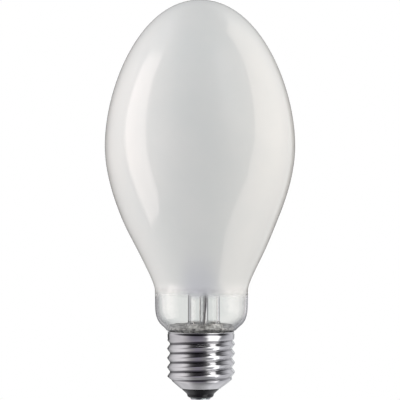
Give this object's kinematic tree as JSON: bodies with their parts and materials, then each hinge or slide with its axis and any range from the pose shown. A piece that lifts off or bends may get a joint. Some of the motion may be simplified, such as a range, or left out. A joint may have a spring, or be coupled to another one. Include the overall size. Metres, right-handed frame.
{
  "type": "high pressure sodium lamp",
  "caption": "Discharge lamp with a white coated elliptical glass bulb, a clear neck over a flared glass stem, and a rolled metal screw cap with a black glass insulator and a centre contact.",
  "frame": {"origin": "on the lamp's axis at the bottom of the centre contact", "axes": "+Z along the lamp's axis, from the cap to the top of the bulb; the lamp is seen along +Y in the picture, with +X to the right"},
  "size_m": [0.0742, 0.0742, 0.1567],
  "materials": {
    "coated_glass": "gloss glass with a white diffusing coat inside, clear at the neck",
    "clear_glass": "clear, gloss",
    "nickel_plate": "nickel plate, gloss, lightly marked",
    "black_glass": "black, gloss",
    "contact_metal": "tinned, satin",
    "solder": "solder, satin",
    "cement": "grainy, matt",
    "lead_metal": "nickelled steel, satin",
    "alumina": "translucent ceramic, satin",
    "niobium": "satin",
    "sealing_glass": "satin",
    "tungsten": "satin",
    "amalgam": "gloss",
    "getter_metal": "matt"
  },
  "bodies": {
    "root": {"outer_bulb": "coated_glass", "stem": "clear_glass", "exhaust_tube": "clear_glass", "centre_lead_wire": "lead_metal", "shell_lead_wire": "lead_metal", "shell_solder": "solder", "cement_ring": "cement", "screw_shell": "nickel_plate", "cap_insulator": "black_glass", "centre_contact": "contact_metal", "contact_solder": "solder", "frame_rod": "lead_metal", "upper_strap": "lead_metal", "lower_strap": "lead_metal", "arc_tube": "alumina", "upper_plug": "alumina", "lower_plug": "alumina", "upper_seal_ring": "sealing_glass", "lower_seal_ring": "sealing_glass", "upper_feed_tube": "niobium", "lower_feed_tube": "niobium", "upper_electrode": "tungsten", "lower_electrode": "tungsten", "upper_electrode_coil": "tungsten", "lower_electrode_coil": "tungsten", "amalgam_bead": "amalgam", "left_getter": "getter_metal", "right_getter": "getter_metal", "left_getter_holder": "lead_metal", "right_getter_holder": "lead_metal"}
  },
  "joints": []
}
